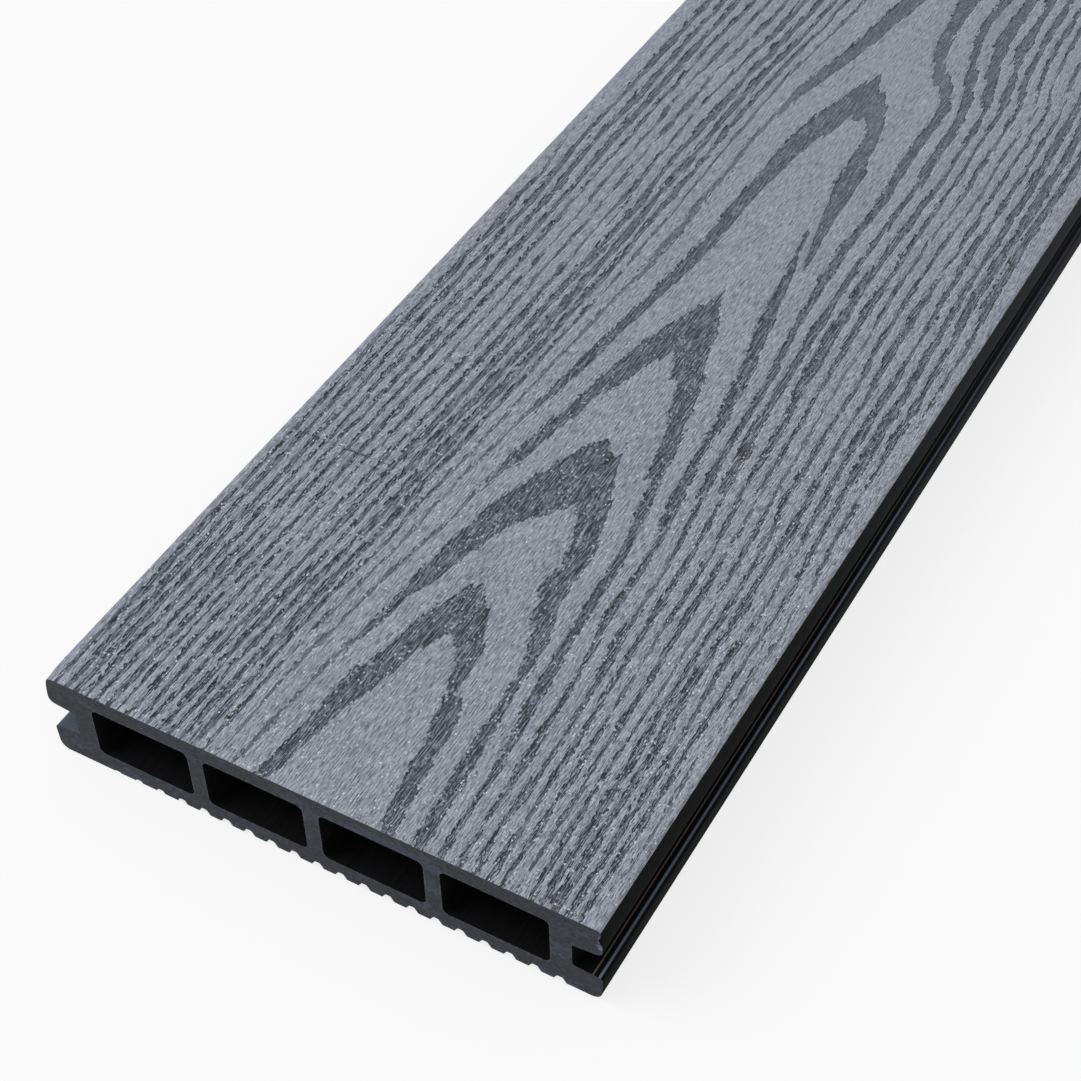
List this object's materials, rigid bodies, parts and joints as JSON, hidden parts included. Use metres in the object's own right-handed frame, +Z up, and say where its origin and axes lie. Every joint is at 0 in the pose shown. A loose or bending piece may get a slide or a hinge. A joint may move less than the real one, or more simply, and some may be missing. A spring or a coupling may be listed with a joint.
{
  "type": "hollow composite decking board",
  "caption": "Hollow extruded deck board with a wood-grain embossed walking face, clip slots along both long edges and a grooved underside that rests on joists.",
  "frame": {"origin": "middle of the underside, at the level the board rests on, half way along its length", "axes": "+X across the board towards its right long edge, +Y along its length away from the end in the picture, +Z up out of the embossed walking face"},
  "size_m": [0.146, 2.2, 0.025],
  "materials": {
    "composite": "wood-filled plastic: embossed blue-grey grain on the walking face, darker charcoal on the sawn ends, edges and underside"
  },
  "bodies": {
    "root": {"board": "composite"}
  },
  "joints": []
}
